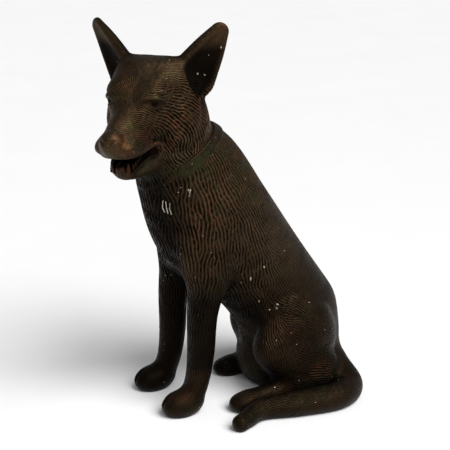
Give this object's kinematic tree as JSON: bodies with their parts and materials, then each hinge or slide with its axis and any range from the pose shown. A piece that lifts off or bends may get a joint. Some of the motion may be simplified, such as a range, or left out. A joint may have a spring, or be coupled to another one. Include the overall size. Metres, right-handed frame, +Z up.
{
  "type": "seated dog garden statue",
  "caption": "Hollow-cast seated shepherd dog with its head turned, mouth open, pricked ears, plain collar and tail curled round one hind foot; stands free on its feet.",
  "frame": {"origin": "on the ground under the middle of the statue's bounding box", "axes": "+Z up, the body faces -Y, +X is the dog's left, the side its head turns to and its tail lies on"},
  "size_m": [0.3244, 0.541, 0.756],
  "materials": {
    "body_bronze": "dark brown patina over cast bronze, engraved fur, rubbed reddish-brown and green in places",
    "collar_bronze": "smooth greenish-brown patina over cast bronze",
    "mouth_bronze": "smooth dark patina over cast bronze"
  },
  "bodies": {
    "root": {"torso_front": "body_bronze", "torso_rear": "body_bronze", "head": "body_bronze", "lower_jaw": "mouth_bronze", "ear_left": "body_bronze", "ear_right": "body_bronze", "collar": "collar_bronze", "foreleg_left": "body_bronze", "foreleg_right": "body_bronze", "haunch_left": "body_bronze", "haunch_right": "body_bronze", "hind_foot_left": "body_bronze", "hind_foot_right": "body_bronze", "tail": "body_bronze"}
  },
  "joints": []
}
